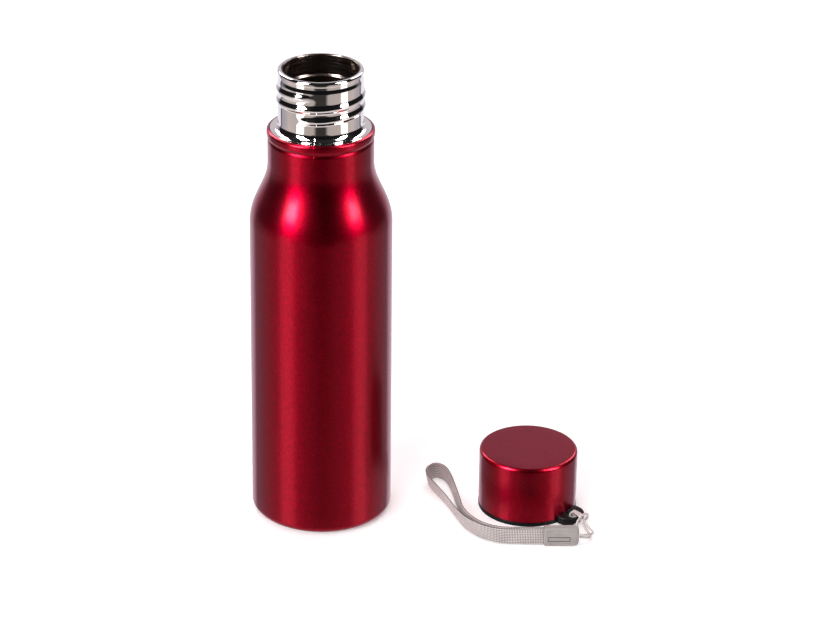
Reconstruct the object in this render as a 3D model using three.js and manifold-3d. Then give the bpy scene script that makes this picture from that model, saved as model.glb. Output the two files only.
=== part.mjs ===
// Double-walled steel drinking bottle, standing open beside its screw cap and the cap's wrist strap.
// Millimetres, +Z up. The origin is on the floor, midway between the two ends of the bottle and cap.
import * as THREE from "three";
import { mergeVertices } from "three/addons/utils/BufferGeometryUtils.js";
import Module from "manifold-3d";

const wasm = await Module();
wasm.setup();

// ---------- Driving dimensions ----------
const SIDES = 36; // flats round every turned piece
const gap = 0.3; // left between pieces that touch

// Bottle, from the floor up
const bodyRadius = 36.5; // at the heel
const bodyTaper = 0.4; // the wall draws in by this up to the shoulder
const sheet = 0.4; // steel of both walls
const heelRadius = 4;
const footWidth = 4; // flat ring that the bottle stands on
const bodyHeight = 162.5; // top of the straight wall
const shoulderLength = 33;
const shoulderPull = 0.39; // how long the shoulder's curve follows the wall and the collar
const collarLength = 11.5;
const grooveLength = 2.2;
const grooveDepth = 0.3;
const beadHeight = 4.1;
const beadProud = 0.4; // past the collar
const beadRoll = 1.4; // width of the bead's painted top

// Neck and its rolled thread
const neckHeight = 31.2; // above the bead
const neckRadius = 21.4; // at the thread's root
const flareRadius = 3.9; // hollow fillet from the neck out to the bead
const flareLand = 0.15; // flat between the fillet and the bead
const rimWidth = 2.35; // both walls and the gap between them, at the mouth
const threadPitch = 6;
const threadTurns = 2.1;
const threadHeight = 0.9;
const threadRound = 1.5; // radius of the rolled crest
const threadStart = 10.2; // above the bead
const threadStartAngle = -39; // degrees round from the front

// Inner flask
const vacuumGap = 2.8;
const ledgeDepth = 11.2; // below the rim, where the mouth narrows
const ledgeWidth = 0.8;
const linerCorner = 4.5;
const linerFloor = 7.5; // underside of the inner flask

// Base pieces
const baseRecess = 2.4; // floor to the underside of the outer base
const dimpleRadius = 6;
const dimpleHeight = 1.5;
const tipHole = 0.8;
const discRadius = 14;
const getterRadius = 5;
const getterOffset = 16;

// Cap, standing on its open end
const capPlace = [108.4, -2.5]; // its axis, from the bottle's axis
const capSheet = 0.6;
const capEdge = 1.9; // rounding of the top edge
const threadClearance = 0.4;
const insertWall = 2.05;
const capThreadStart = 8; // above the cap's open end
const capThreadTurns = 1.4;
const snapGroove = 1.05; // cut into the insert's wall for the strap ring's lip
const capCeiling = 1.4;
const capStandOff = 1.9; // closed cap above the bead
const sealThickness = 1.4;
const flangeHeight = 0.7;
const snapDepth = 1.2; // how far the strap ring's lip reaches behind the flange

// Strap ring with its lug
const ringHeight = 2;
const ringProud = 0.15; // past the cap's shell
const lugAngle = 50; // degrees round from the front
const lugReach = 9.6; // past the shell
const lugHalfWidth = 8;
const lugBar = 1.8; // between the hole and the tip
const lugHole = 3.7; // radius of the hole
const lugBottom = 1.8;
const lugHeight = 2.6;
const legBottom = 0.3; // its two legs go down beside the string
const legApart = 9.2; // clear width between the legs
const legInwards = 3.6; // from the bar's middle to where they meet

// Strap
const webbingWidth = 9;
const webbingThickness = 1.2;
const webbingLift = 0.5; // its lower edge above the floor
const crimpLength = 18.1;
const crimpHeight = 10;
const crimpThickness = 5.4;
const crimpEnd = -2.2; // its string end, to the right of the lug's bar
const crimpAway = 21.2; // its middle plane, in front of the lug's bar
const crimpNose = 3; // corner radius at the string end
const crimpHeel = 1.4; // corner radius at the webbing end
const webbingGrip = 12; // webbing inside the crimp
const stringRadius = 0.62;

// ---------- Worked out from them ----------
const flangeRadius = neckRadius + flareRadius + flareLand;
const beadRadius = flangeRadius + gap + beadRoll;
const collarRadius = beadRadius - beadProud;
const shoulderTop = bodyHeight + shoulderLength;
const collarTop = shoulderTop + collarLength;
const beadBase = collarTop + grooveLength;
const beadTop = beadBase + beadHeight;
const rimTop = beadTop + neckHeight;
const boreRadius = neckRadius - rimWidth;
const shoulderRadius = bodyRadius - bodyTaper;
const linerRadius = shoulderRadius - sheet - vacuumGap;

const insertBore = neckRadius + threadHeight + threadClearance;
const insertRadius = insertBore + insertWall;
const capRadius = insertRadius + gap + capSheet;
const sealFace = neckHeight - capStandOff; // where the bottle's rim stops, from the cap's open end
const insertTop = sealFace + sealThickness + gap + capCeiling;
const capHeight = insertTop + gap + capSheet;
const ringRadius = capRadius + ringProud;
const shellBottom = ringHeight + gap;
const snapRadius = insertRadius - snapGroove;
const lugCentre = capRadius + lugReach - lugHalfWidth;
const lugBarMiddle = capRadius + lugReach - lugBar / 2;

const paint = { color: 0x8c0a1e, roughness: 0.38, metalness: 0.85 };
const steel = { color: 0xc9c6c2, roughness: 0.12, metalness: 1 };
const blackPlastic = { color: 0x141216, roughness: 0.45, metalness: 0 };
const silicone = { color: 0xe6e4e0, roughness: 0.6, metalness: 0 };
const greyPlastic = { color: 0xaaa4a0, roughness: 0.55, metalness: 0 };
const weave = { color: 0xc4beb8, roughness: 0.9, metalness: 0 };

// ---------- Shapes ----------
const radians = THREE.MathUtils.degToRad;

// Points of an arc in the (radius, height) plane, from one angle to another in degrees.
function arc(r, z, radius, from, to, steps) {
  return Array.from({ length: steps + 1 }, (_, i) => {
    const a = radians(from + ((to - from) * i) / steps);
    return [r + radius * Math.cos(a), z + radius * Math.sin(a)];
  });
}

// An S-curve between two radii that leaves both ends upright.
function shoulder(fromR, fromZ, toR, toZ, steps) {
  const pull = shoulderPull * (toZ - fromZ);
  const curve = new THREE.CubicBezierCurve(
    new THREE.Vector2(fromR, fromZ),
    new THREE.Vector2(fromR, fromZ + pull),
    new THREE.Vector2(toR, toZ - pull),
    new THREE.Vector2(toR, toZ),
  );
  return curve.getPoints(steps).map((p) => [p.x, p.y]);
}

// Turns a profile about Z. It starts and ends on the axis, or comes back to its first point.
function turned(profile) {
  const points = profile.map(([r, z]) => new THREE.Vector2(r, z));
  return new THREE.LatheGeometry(points, SIDES).rotateX(Math.PI / 2);
}

function turnedRing(profile) {
  return turned([...profile, profile[0]]);
}

function disc(radius, bottom, top) {
  return turned([[0, bottom], [radius, bottom], [radius, top], [0, top]]);
}

function solid(geometry) {
  const bare = geometry.clone();
  bare.deleteAttribute("normal");
  bare.deleteAttribute("uv");
  const merged = mergeVertices(bare, 1e-4);
  return new wasm.Manifold(
    new wasm.Mesh({
      numProp: 3,
      vertProperties: merged.attributes.position.array,
      triVerts: new Uint32Array(merged.index.array),
    }),
  );
}

function geometryOf(body) {
  const mesh = body.getMesh();
  return new THREE.BufferGeometry()
    .setAttribute("position", new THREE.BufferAttribute(mesh.vertProperties, 3))
    .setIndex(new THREE.BufferAttribute(mesh.triVerts, 1));
}

function polygon(radius, sides) {
  const corners = Array.from({ length: sides }, (_, i) => {
    const a = (2 * Math.PI * (i + 0.5)) / sides;
    return new THREE.Vector2(radius * Math.cos(a), radius * Math.sin(a));
  });
  return new THREE.Shape(corners);
}

class Helix extends THREE.Curve {
  constructor(radius, bottom, startAngle, turns) {
    super();
    Object.assign(this, { radius, bottom, startAngle, turns });
  }
  getPoint(t, target = new THREE.Vector3()) {
    const a = radians(this.startAngle) + 2 * Math.PI * this.turns * t;
    const z = this.bottom + threadPitch * this.turns * t;
    return target.set(this.radius * Math.sin(a), -this.radius * Math.cos(a), z);
  }
}

// A right-handed round ridge about Z.
function ridge(radius, round, bottom, startAngle, turns) {
  const path = new Helix(radius, bottom, startAngle, turns);
  const steps = Math.round(24 * turns);
  return solid(new THREE.ExtrudeGeometry(polygon(round, 6), { steps, extrudePath: path }));
}

function part(name, geometry, finish) {
  const mesh = new THREE.Mesh(geometry, new THREE.MeshStandardMaterial(finish));
  mesh.name = name;
  return mesh;
}

// ---------- Bottle ----------
// Painted outer wall: straight body, shoulder, collar, groove and rolled bead.
function outerShell() {
  const heel = arc(bodyRadius - heelRadius, heelRadius, heelRadius, -90, 0, 4);
  const bead = arc(beadRadius - beadHeight / 2, beadBase + beadHeight / 2, beadHeight / 2, -60, 75, 4);
  const outside = [
    [bodyRadius - heelRadius - footWidth, 0],
    ...heel,
    ...shoulder(shoulderRadius, bodyHeight, collarRadius, shoulderTop, 7),
    [collarRadius, collarTop],
    [collarRadius - grooveDepth, collarTop + grooveLength / 2],
    ...bead,
    [beadRadius - beadRoll, beadTop],
  ];
  const inside = [
    [beadRadius - beadRoll, beadTop - 0.8],
    [beadRadius - beadRoll + 0.2, beadBase],
    [collarRadius - grooveDepth - sheet, collarTop],
    ...shoulder(shoulderRadius - sheet, bodyHeight, collarRadius - sheet, shoulderTop, 5).reverse(),
    ...arc(bodyRadius - heelRadius, heelRadius, heelRadius - sheet, 0, -90, 3),
    [bodyRadius - heelRadius - footWidth, sheet],
  ];
  return part("outer_shell", turnedRing([...outside, ...inside]), paint);
}

// Bare steel neck: a flare that lies in the bead, the rolled thread and the rim.
function threadedNeck() {
  const wall = neckRadius - sheet;
  const flare = arc(neckRadius + flareRadius, beadTop + flareRadius, flareRadius, -90, -180, 4);
  const outside = [
    [flangeRadius, beadTop - sheet],
    [flangeRadius, beadTop],
    ...flare,
    [neckRadius, rimTop - 1.2],
    [neckRadius - 0.5, rimTop - 0.3],
    [neckRadius - 1.2, rimTop],
  ];
  const inside = [
    [boreRadius + sheet + gap, rimTop],
    [boreRadius + sheet + gap, rimTop - sheet],
    [wall, rimTop - 1.6],
    [wall, beadTop + flareRadius],
    ...arc(wall + flareRadius, beadTop + flareRadius - sheet, flareRadius, 180, 270, 3),
  ];
  const tube = solid(turnedRing([...outside, ...inside]));
  const core = solid(disc(wall, beadTop, rimTop));
  const crest = neckRadius + threadHeight - threadRound;
  const thread = ridge(crest, threadRound, beadTop + threadStart, threadStartAngle, threadTurns);
  return part("threaded_neck", geometryOf(tube.add(thread.subtract(core))), steel);
}

// Inner flask: mouth tube up to the rim, ledge, shoulder and straight wall.
function innerLiner() {
  const tube = boreRadius - ledgeWidth;
  const ledge = rimTop - ledgeDepth;
  const bottom = linerFloor + linerCorner + gap;
  const outside = [
    [linerRadius, bottom],
    ...shoulder(linerRadius, bodyHeight - 4, tube + sheet, collarTop, 6),
    [tube + sheet, ledge - sheet],
    [boreRadius + sheet, ledge],
  ];
  const inside = [
    [boreRadius, ledge + sheet],
    [tube, ledge],
    ...shoulder(linerRadius - sheet, bodyHeight - 4, tube, collarTop, 6).reverse(),
    [linerRadius - sheet, bottom],
  ];
  const mouth = [[boreRadius + sheet, rimTop - gap], [boreRadius, rimTop - gap]];
  return part("inner_liner", turnedRing([...outside, ...mouth, ...inside]), steel);
}

function linerBase() {
  const centre = linerRadius - linerCorner;
  const rise = linerFloor + linerCorner;
  const profile = [
    [0, linerFloor],
    ...arc(centre, rise, linerCorner, -90, 0, 4),
    ...arc(centre, rise, linerCorner - sheet, 0, -90, 4),
    [0, linerFloor + sheet],
  ];
  return part("liner_base", turned(profile), steel);
}

// Outer base with the dimple and hole that the air is drawn out through.
function outerBase() {
  const rim = bodyRadius - heelRadius - footWidth - gap;
  const under = baseRecess;
  const dimple = under + dimpleHeight;
  const profile = [
    [tipHole, dimple],
    [dimpleRadius - dimpleHeight, dimple],
    [dimpleRadius, under],
    [rim - sheet, under],
    [rim - sheet, gap],
    [rim, gap],
    [rim, under + sheet],
    [dimpleRadius, under + sheet],
    [dimpleRadius - dimpleHeight, dimple + sheet],
    [tipHole, dimple + sheet],
  ];
  return part("outer_base", turnedRing(profile), steel);
}

function sealBead() {
  const top = baseRecess + dimpleHeight - gap;
  const profile = [[0, top - 1], [1.4, top - 0.8], [2.2, top], [0, top]];
  return part("seal_bead", turned(profile), steel);
}

function baseDisc() {
  const top = baseRecess - gap;
  return part("base_disc", disc(discRadius, top - sheet, top), steel);
}

function getter() {
  const top = linerFloor - gap;
  const mesh = part("getter", disc(getterRadius, top - 2, top), steel);
  mesh.position.x = getterOffset;
  return mesh;
}

// ---------- Cap ----------
function capShell() {
  const inner = capRadius - capSheet;
  const profile = [
    [capRadius, shellBottom],
    ...arc(capRadius - capEdge, capHeight - capEdge, capEdge, 0, 90, 4),
    [0, capHeight],
    [0, capHeight - capSheet],
    [inner - capEdge, capHeight - capSheet],
    [inner - 0.5, capHeight - capEdge],
    [inner, capHeight - capEdge - 1],
    [inner, shellBottom],
  ];
  return part("cap_shell", turnedCup(profile), paint);
}

// Turns a cup's profile whose two middle points lie on the axis: its rim closes on itself.
function turnedCup(profile) {
  const split = profile.findIndex(([r]) => r === 0);
  return turned([...profile.slice(split + 1), ...profile.slice(0, split + 1)]);
}

// Moulded insert: inner thread, ceiling, and the flange that keeps the strap ring on.
function capInsert() {
  const flange = snapRadius + snapDepth;
  const ceiling = sealFace + sealThickness + gap;
  const profile = [
    [insertBore, gap],
    [flange, gap],
    [flange, gap + flangeHeight],
    [snapRadius, gap + flangeHeight],
    [snapRadius, shellBottom],
    [insertRadius, shellBottom],
    [insertRadius, insertTop - capEdge - 1],
    [insertRadius - capEdge, insertTop],
    [0, insertTop],
    [0, ceiling],
    [insertBore, ceiling],
  ];
  const cup = solid(turnedCup(profile));
  const crest = neckRadius + threadClearance;
  const thread = ridge(crest + threadRound, threadRound, capThreadStart, threadStartAngle, capThreadTurns);
  const skin = solid(turnedRing([[crest, 0], [insertRadius - gap, 0], [insertRadius - gap, insertTop],
    [crest, insertTop]]));
  return part("cap_insert", geometryOf(cup.add(thread.intersect(skin))), blackPlastic);
}

function capSeal() {
  const profile = [
    [boreRadius - 0.8, sealFace],
    [insertBore - gap, sealFace],
    [insertBore - gap, sealFace + sealThickness],
    [boreRadius - 0.8, sealFace + sealThickness],
  ];
  return part("cap_seal", turnedRing(profile), silicone);
}

// Ring under the shell with the round lug that the string is looped through.
function strapRing() {
  const lip = snapRadius + gap;
  const pocket = snapRadius + snapDepth + gap;
  const lipBottom = gap + flangeHeight + gap;
  const ring = solid(turnedRing([
    [pocket, 0],
    [ringRadius - 0.4, 0],
    [ringRadius, 0.5],
    [ringRadius, ringHeight],
    [lip, ringHeight],
    [lip, lipBottom],
    [pocket, lipBottom],
  ]));
  const outline = new THREE.Shape().absarc(lugCentre, 0, lugHalfWidth, 0, 2 * Math.PI);
  const holeCentre = lugBarMiddle - lugBar / 2 - lugHole;
  outline.holes.push(new THREE.Path().absarc(holeCentre, 0, lugHole, 0, 2 * Math.PI));
  const plate = (bottom, depth) =>
    solid(new THREE.ExtrudeGeometry(outline, { depth, bevelEnabled: false, curveSegments: 16 })
      .translate(0, 0, bottom));
  const underBar = solid(new THREE.BoxGeometry(lugHalfWidth, legApart, 2 * lugBottom)
    .translate(lugBarMiddle - legInwards + lugHalfWidth / 2, 0, 0));
  const flangeRoom = solid(disc(pocket + 0.4, 0, lugBottom));
  const legs = plate(legBottom, lugBottom - legBottom).subtract(underBar)
    .rotate([0, 0, lugAngle - 90]).subtract(flangeRoom);
  const bow = plate(lugBottom, lugHeight).rotate([0, 0, lugAngle - 90]).add(legs);
  const inside = solid(disc(lip + 0.5, 0, capHeight));
  const shellRoom = solid(disc(capRadius + gap, ringHeight, capHeight));
  const lug = bow.subtract(inside).subtract(shellRoom);
  return part("strap_ring", geometryOf(ring.add(lug)), blackPlastic);
}

// ---------- Strap ----------
// The webbing's middle line on the floor, from the lug's bar: out of the crimp, round and back.
const webbingRoute = [
  [-32, -22.05], [-42.3, -21.35], [-49.9, -18.15], [-55.55, -13.35], [-60.55, -6.65],
  [-64.95, 3.85], [-69.05, 15.85], [-74.05, 27.85], [-77.55, 36.85], [-77.95, 43.35],
  [-74.05, 48.15], [-69.25, 45.35], [-66.35, 36.85], [-64.35, 24.85], [-62.55, 11.85],
  [-61.35, 2.85], [-58.65, -5.15], [-54.15, -12.05], [-48.9, -16.65], [-42, -19.65],
  [-32, -20.35],
];

// The string's middle line, as [outwards along the lug, across it, height], from the lug's bar.
// It leaves the crimp, folds back to the lug, hitches round its bar and returns beside itself.
const stringRoute = [
  [12.5, -17.6, 4.2], [13.6, -16.3, 3.9], [14.2, -13.6, 2.9], [14, -10.6, 1.9], [12.7, -8.5, 1.7],
  [10.6, -7.3, 1.9], [8.1, -6.2, 2.6], [5.6, -4.9, 3.7], [3.2, -3.3, 4.9], [1.3, -2.2, 5.6],
  [0, -1.7, 5.8], [-2.6, -0.9, 5.7], [-4.6, -0.3, 5.3], [-5.6, -0.4, 4.1], [-5.4, -1.2, 2.6],
  [-4.6, -1.9, 1.5], [-3.1, -2.4, 0.9], [-1.2, -2.9, 0.8], [0.1, -3.8, 0.85], [1.2, -4.9, 1.3],
  [1.9, -5.5, 2.6], [2.4, -5.3, 4.2], [2.7, -4.3, 5.7], [2.8, -2.6, 6.6], [2.8, -0.7, 6.7],
  [2.8, 1.2, 6.2], [2.8, 2.6, 5.1], [2.6, 3.2, 3.6], [1.9, 3.2, 2], [0.6, 2.6, 0.95],
  [-0.9, 2.1, 0.8], [-3.1, 2.2, 0.9], [-4.6, 2.1, 1.6], [-5.4, 1.7, 2.8], [-5.6, 1.1, 4.1],
  [-4.6, 1.1, 5.3], [-2.6, 0.6, 5.7], [0, -0.1, 5.8], [1.4, -0.6, 5.6], [3.2, -1.7, 4.9],
  [5.6, -3.3, 3.9], [8.2, -4.7, 3.3], [10.8, -5.8, 3], [13, -7, 3.1], [14.7, -9.3, 3.7],
  [15, -13, 4.7], [14.3, -16.4, 5.7], [12.5, -17.6, 5.8],
];

// Doubled webbing standing on its edge, both ends held in the crimp.
function strapWebbing() {
  const inCrimp = crimpEnd - crimpLength + webbingGrip;
  const ply = (webbingThickness + gap + 0.2) / 2;
  const route = [[inCrimp, -crimpAway - ply], [crimpEnd - crimpLength, -crimpAway - ply],
    ...webbingRoute, [crimpEnd - crimpLength, -crimpAway + ply], [inCrimp, -crimpAway + ply]];
  const curve = new THREE.CatmullRomCurve3(route.map(([x, y]) => new THREE.Vector3(x, y, 0)));
  const steps = 64;
  const sides = [1, -1].map((side) =>
    Array.from({ length: steps + 1 }, (_, i) => {
      const point = curve.getPointAt(i / steps);
      const along = curve.getTangentAt(i / steps);
      const off = (side * webbingThickness) / 2;
      return new THREE.Vector2(point.x - off * along.y, point.y + off * along.x);
    }),
  );
  const outline = new THREE.Shape([...sides[0], ...sides[1].reverse()]);
  const strip = new THREE.ExtrudeGeometry(outline, { depth: webbingWidth, bevelEnabled: false });
  return part("strap_webbing", strip.translate(0, 0, webbingLift), weave);
}

// One half of the crimp, its outline in X and Z, hollowed for the webbing.
function crimpHalf(name, side) {
  const [left, right] = [crimpEnd - crimpLength, crimpEnd];
  const outline = new THREE.Shape()
    .moveTo(left + crimpHeel, 0)
    .lineTo(right - crimpNose, 0)
    .absarc(right - crimpNose, crimpNose, crimpNose, -Math.PI / 2, 0)
    .absarc(right - crimpNose, crimpHeight - crimpNose, crimpNose, 0, Math.PI / 2)
    .absarc(left + crimpHeel, crimpHeight - crimpHeel, crimpHeel, Math.PI / 2, Math.PI)
    .absarc(left + crimpHeel, crimpHeel, crimpHeel, Math.PI, 1.5 * Math.PI);
  const half = (crimpThickness - gap) / 2;
  const slab = new THREE.ExtrudeGeometry(outline, { depth: half, bevelEnabled: false, curveSegments: 4 })
    .rotateX(Math.PI / 2)
    .translate(0, side < 0 ? -crimpAway - gap / 2 : -crimpAway + gap / 2 + half, 0);
  const room = 2 * webbingThickness + gap + 0.2 + 2 * gap;
  const grip = webbingGrip + gap;
  const recess = new THREE.BoxGeometry(2 * grip, room, webbingWidth + 2 * gap)
    .translate(left, -crimpAway, webbingLift + webbingWidth / 2);
  return part(name, geometryOf(solid(slab).subtract(solid(recess))), greyPlastic);
}

function strapString() {
  const turn = radians(lugAngle);
  const points = stringRoute.map(([out, across, up]) =>
    new THREE.Vector3(
      out * Math.sin(turn) + across * Math.cos(turn),
      across * Math.sin(turn) - out * Math.cos(turn),
      up,
    ));
  const extrudePath = new THREE.CatmullRomCurve3(points);
  const cord = new THREE.ExtrudeGeometry(polygon(stringRadius, 8), { steps: 80, extrudePath });
  return part("strap_string", cord, weave);
}

// ---------- Assembly ----------
const bottle = new THREE.Group();
bottle.add(outerShell(), threadedNeck(), innerLiner(), linerBase(), outerBase(), sealBead(),
  baseDisc(), getter());

const cap = new THREE.Group();
cap.position.set(...capPlace, 0);
cap.add(capShell(), capInsert(), capSeal(), strapRing());

const strap = new THREE.Group();
strap.position.x = lugBarMiddle * Math.sin(radians(lugAngle));
strap.position.y = -lugBarMiddle * Math.cos(radians(lugAngle));
strap.add(strapWebbing(), crimpHalf("crimp_front", -1), crimpHalf("crimp_back", 1), strapString());
cap.add(strap);

const lugSide = lugCentre * Math.sin(radians(lugAngle)) + lugHalfWidth;
const rightEnd = capPlace[0] + Math.max(lugSide, ringRadius);
const group = new THREE.Group();
group.position.x = (bodyRadius - rightEnd) / 2;
group.add(bottle, cap);

export default group;
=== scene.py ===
import math

import bmesh
import bpy
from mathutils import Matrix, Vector


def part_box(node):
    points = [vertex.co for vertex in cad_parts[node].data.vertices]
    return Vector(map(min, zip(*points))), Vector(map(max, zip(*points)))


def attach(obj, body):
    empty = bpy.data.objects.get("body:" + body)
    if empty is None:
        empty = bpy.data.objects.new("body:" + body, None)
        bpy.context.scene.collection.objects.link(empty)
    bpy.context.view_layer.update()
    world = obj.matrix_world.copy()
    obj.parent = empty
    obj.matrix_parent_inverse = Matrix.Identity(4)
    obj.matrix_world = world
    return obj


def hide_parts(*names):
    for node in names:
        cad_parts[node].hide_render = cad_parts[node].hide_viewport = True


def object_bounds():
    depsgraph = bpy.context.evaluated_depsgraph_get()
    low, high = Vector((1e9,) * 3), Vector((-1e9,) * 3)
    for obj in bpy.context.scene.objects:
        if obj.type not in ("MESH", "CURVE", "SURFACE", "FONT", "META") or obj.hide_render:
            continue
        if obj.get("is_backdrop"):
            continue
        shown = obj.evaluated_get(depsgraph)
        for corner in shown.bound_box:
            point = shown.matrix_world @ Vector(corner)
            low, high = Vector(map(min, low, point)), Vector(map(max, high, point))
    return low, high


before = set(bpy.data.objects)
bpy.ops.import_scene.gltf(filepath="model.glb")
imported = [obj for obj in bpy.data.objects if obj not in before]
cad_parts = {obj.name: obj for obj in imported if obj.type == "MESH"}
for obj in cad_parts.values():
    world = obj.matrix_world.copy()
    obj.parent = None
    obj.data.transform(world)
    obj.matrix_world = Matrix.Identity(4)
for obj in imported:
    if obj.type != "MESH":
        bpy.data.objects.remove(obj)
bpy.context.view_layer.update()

# ---------------------------------------------------------------- Outer wall of the bottle
# One steel tube, drawn in at the shoulder and rolled into a collar, a groove and a bead.
# It is sprayed with a clear red lacquer over turned metal, which leaves a satin sparkle.
MM = 0.001


def across(node):
    """The upright axis of a turned CAD piece."""
    low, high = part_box(node)
    return Vector(((low.x + high.x) / 2, (low.y + high.y) / 2, 0))


def arc(r, z, radius, start, end, steps):
    """Points of an arc in the (radius, height) plane, from one angle to another in degrees."""
    angles = [math.radians(start + (end - start) * i / steps) for i in range(steps + 1)]
    return [(r + radius * math.cos(a), z + radius * math.sin(a)) for a in angles]


def s_curve(from_r, from_z, to_r, to_z, pull, steps):
    """An S-curve between two radii that leaves both ends upright."""
    reach = pull * (to_z - from_z)
    made = []
    for i in range(steps + 1):
        t = i / steps
        w = ((1 - t) ** 3, 3 * t * (1 - t) ** 2, 3 * t * t * (1 - t), t**3)
        r = (w[0] + w[1]) * from_r + (w[2] + w[3]) * to_r
        z = w[0] * from_z + w[1] * (from_z + reach) + w[2] * (to_z - reach) + w[3] * to_z
        made.append((r, z))
    return made


def rounded(corners, steps=5):
    """A line through (radius, height, rounding) corners, each turned with its own rounding."""
    made = []
    for i, (r, z, size) in enumerate(corners):
        if size == 0 or i in (0, len(corners) - 1):
            made.append((r, z))
            continue
        here = Vector((r, z))
        before = Vector(corners[i - 1][:2]) - here
        after = Vector(corners[i + 1][:2]) - here
        half = before.angle(after) / 2
        cut = min(size / math.tan(half), 0.49 * before.length, 0.49 * after.length)
        first, last = here + before.normalized() * cut, here + after.normalized() * cut
        for k in range(steps + 1):
            t = k / steps
            bent = first * (1 - t) ** 2 + here * 2 * t * (1 - t) + last * t * t
            made.append(tuple(bent))
    return made


def finer(line, longest):
    """The same line with no stretch longer than the given length."""
    made = [line[0]]
    for a, b in zip(line, line[1:]):
        parts = max(1, math.ceil(math.dist(a, b) / longest))
        made += [(a[0] + (b[0] - a[0]) * k / parts, a[1] + (b[1] - a[1]) * k / parts)
                 for k in range(1, parts + 1)]
    return made


def piece_from(name, verts, faces, crease=35):
    """A smooth mesh piece with its faces turned outwards, creased at edges sharper than that."""
    mesh = bpy.data.meshes.new(name)
    mesh.from_pydata(verts, [], faces)
    shaped = bmesh.new()
    shaped.from_mesh(mesh)
    bmesh.ops.recalc_face_normals(shaped, faces=shaped.faces)
    shaped.to_mesh(mesh)
    shaped.free()
    mesh.shade_smooth()
    mesh.set_sharp_from_angle(angle=math.radians(crease))
    piece = bpy.data.objects.new(name, mesh)
    bpy.context.scene.collection.objects.link(piece)
    return piece


def turned(name, profile, axis, sides=160, rise=None, crease=35):
    """Turns a (radius, height) profile in millimetres about an upright axis.
    A profile that doesn't start and end on the axis comes back to its first point."""
    on_axis = profile[0][0] == 0 and profile[-1][0] == 0
    rows, verts, faces = [], [], []
    for i, (r, z) in enumerate(profile):
        row = []
        for s in range(1 if r == 0 else sides):
            a = 2 * math.pi * s / sides
            wide = r + (rise(i, a, z) if rise and r else 0)
            row.append(len(verts))
            verts.append((axis.x + wide * MM * math.sin(a), axis.y - wide * MM * math.cos(a),
                          z * MM))
        rows.append(row)
    pairs = list(zip(rows, rows[1:])) + ([] if on_axis else [(rows[-1], rows[0])])
    for low, high in pairs:
        for s in range(sides):
            t = (s + 1) % sides
            corners = [low[s % len(low)], low[t % len(low)],
                       high[t % len(high)], high[s % len(high)]]
            corner_set = list(dict.fromkeys(corners))
            if len(corner_set) > 2:
                faces.append(corner_set)
    return piece_from(name, verts, faces, crease)


def new_finish(name, **sockets):
    """A material with one shader, and the constants on that shader's own sockets."""
    finish = bpy.data.materials.new(name)
    finish.use_nodes = True
    shader = finish.node_tree.nodes["Principled BSDF"]
    for socket, value in sockets.items():
        shader.inputs[socket.replace("_", " ")].default_value = value
    return finish, shader


def add_node(finish, kind, inputs=(), **settings):
    """A node of that kind, with its inputs given as values or as another node's outlet."""
    node = finish.node_tree.nodes.new("ShaderNode" + kind)
    for key, value in settings.items():
        setattr(node, key, value)
    for key, value in dict(inputs).items():
        if isinstance(value, bpy.types.NodeSocket):
            finish.node_tree.links.new(value, node.inputs[key])
        else:
            node.inputs[key].default_value = value
    return node


def grain(finish, place, scale, detail=2.0, squeeze=(1, 1, 1)):
    """A noise value at so many grains a metre, squeezed along any axis."""
    spread = add_node(finish, "Mapping", {"Vector": place, "Scale": squeeze})
    return add_node(finish, "TexNoise", {"Vector": spread.outputs[0], "Scale": scale,
                                         "Detail": detail}).outputs[0]


def between(finish, value, low, high, to_low=0.0, to_high=1.0):
    """Stretches a value from one range to another."""
    names = ("From Min", "From Max", "To Min", "To Max")
    given = {"Value": value, **dict(zip(names, (low, high, to_low, to_high)))}
    return add_node(finish, "MapRange", given).outputs[0]


def reckon(finish, how, first, second=None):
    """The outcome of a sum on one or two values."""
    given = {0: first} if second is None else {0: first, 1: second}
    return add_node(finish, "Math", given, operation=how).outputs[0]


def tints(finish, value, stops):
    """Colours along a value, as (place, red, green, blue)."""
    ramp = add_node(finish, "ValToRGB", {"Fac": value})
    while len(ramp.color_ramp.elements) < len(stops):
        ramp.color_ramp.elements.new(0.5)
    for element, (place, *tint) in zip(ramp.color_ramp.elements, stops):
        element.position, element.color = place, (*tint, 1)
    return ramp.outputs[0]


def relief(finish, shader, height, depth, strength=1.0, under=None):
    """Raises the surface by a height value, in metres."""
    given = {"Height": height, "Distance": depth, "Strength": strength}
    if under:
        given["Normal"] = under
    bump = add_node(finish, "Bump", given)
    finish.node_tree.links.new(bump.outputs[0], shader.inputs["Normal"])
    return bump.outputs[0]


def place_of(finish):
    return add_node(finish, "TexCoord").outputs["Object"]


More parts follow.
